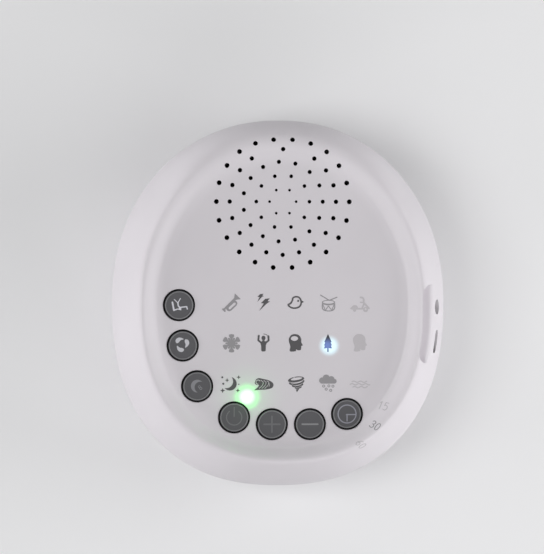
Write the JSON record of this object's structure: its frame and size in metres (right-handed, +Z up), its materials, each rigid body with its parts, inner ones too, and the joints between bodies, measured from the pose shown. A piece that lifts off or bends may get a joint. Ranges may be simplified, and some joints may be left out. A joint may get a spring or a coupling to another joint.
{
  "type": "white noise sound machine",
  "caption": "Rounded pebble-shaped bedside sound machine with a sunk control floor, drilled speaker grille, round push keys, lit icon panel and side sockets.",
  "frame": {"origin": "on the surface that the feet rest on, under the middle of the housing", "axes": "+Z up, +Y towards the back where the loudspeaker is, +X to the right as the user sits, so -Y faces the user"},
  "size_m": [0.12, 0.1316, 0.047],
  "materials": {
    "white_shell": "satin white moulded plastic, very fine spark texture",
    "key_grey": "dark grey plastic with a satin face",
    "foot_rubber": "dark soft rubber",
    "screw_steel": "zinc plated steel",
    "switch_steel": "tinned steel",
    "board_green": "solder mask over glass fibre board",
    "baffle_white": "opaque white plastic",
    "light_body": "small surface-mounted light",
    "power_lens": "clear plastic, lit green",
    "chip_black": "moulded black plastic",
    "connector_cream": "cream nylon",
    "terminal_brown": "pressed phenolic strip",
    "wire_sleeve": "soft sleeve, one wire red and one black",
    "frame_black": "black painted steel",
    "magnet_steel": "plated steel",
    "coil_copper": "enamelled copper wire",
    "cone_paper": "black pressed paper",
    "surround_rubber": "thin black rubber",
    "gasket_foam": "soft closed-cell foam",
    "socket_black": "black moulded plastic",
    "cell_wrap": "shrink sleeve over a steel can",
    "holder_black": "black moulded plastic"
  },
  "bodies": {
    "housing": {"top_shell": "white_shell", "bottom_shell": "white_shell", "rubber_feet": "foot_rubber", "case_screws": "screw_steel", "tact_switches": "switch_steel", "main_board": "board_green", "board_screws": "screw_steel", "light_baffle": "baffle_white", "sound_lights": "light_body", "timer_lights": "light_body", "power_light": "light_body", "power_light_pipe": "power_lens", "sound_chip": "chip_black", "amplifier_chip": "chip_black", "board_connectors": "connector_cream", "speaker_terminal": "terminal_brown", "speaker_lead": "wire_sleeve", "cell_lead": "wire_sleeve", "speaker_frame": "frame_black", "speaker_magnet": "magnet_steel", "voice_coil": "coil_copper", "speaker_cone": "cone_paper", "speaker_surround": "surround_rubber", "dust_cap": "cone_paper", "speaker_gasket": "gasket_foam", "speaker_screws": "screw_steel", "port_board": "board_green", "port_screws": "screw_steel", "headphone_socket": "socket_black", "charging_socket": "switch_steel", "battery_cell": "cell_wrap", "battery_holder": "holder_black", "holder_screws": "screw_steel"},
    "lounge_key": {"key_lounge": "key_grey", "plunger_lounge": "chip_black"},
    "petals_key": {"key_petals": "key_grey", "plunger_petals": "chip_black"},
    "crescent_key": {"key_crescent": "key_grey", "plunger_crescent": "chip_black"},
    "power_key": {"key_power": "key_grey", "plunger_power": "chip_black"},
    "plus_key": {"key_plus": "key_grey", "plunger_plus": "chip_black"},
    "minus_key": {"key_minus": "key_grey", "plunger_minus": "chip_black"},
    "timer_key": {"key_timer": "key_grey", "plunger_timer": "chip_black"}
  },
  "joints": [
    {"name": "lounge_press", "type": "slide", "parent": "housing", "child": "lounge_key", "axis": [0, 0.0384, -0.9993], "range_m": [0, 0.0004], "stiffness_N_per_m": 1200, "springref_m": -0.0003},
    {"name": "petals_press", "type": "slide", "parent": "housing", "child": "petals_key", "axis": [0, 0.0384, -0.9993], "range_m": [0, 0.0004], "stiffness_N_per_m": 1200, "springref_m": -0.0003},
    {"name": "crescent_press", "type": "slide", "parent": "housing", "child": "crescent_key", "axis": [0, 0.0384, -0.9993], "range_m": [0, 0.0004], "stiffness_N_per_m": 1200, "springref_m": -0.0003},
    {"name": "power_press", "type": "slide", "parent": "housing", "child": "power_key", "axis": [0, 0.0384, -0.9993], "range_m": [0, 0.0004], "stiffness_N_per_m": 1200, "springref_m": -0.0003},
    {"name": "plus_press", "type": "slide", "parent": "housing", "child": "plus_key", "axis": [0, 0.0384, -0.9993], "range_m": [0, 0.0004], "stiffness_N_per_m": 1200, "springref_m": -0.0003},
    {"name": "minus_press", "type": "slide", "parent": "housing", "child": "minus_key", "axis": [0, 0.0384, -0.9993], "range_m": [0, 0.0004], "stiffness_N_per_m": 1200, "springref_m": -0.0003},
    {"name": "timer_press", "type": "slide", "parent": "housing", "child": "timer_key", "axis": [0, 0.0384, -0.9993], "range_m": [0, 0.0004], "stiffness_N_per_m": 1200, "springref_m": -0.0003}
  ]
}
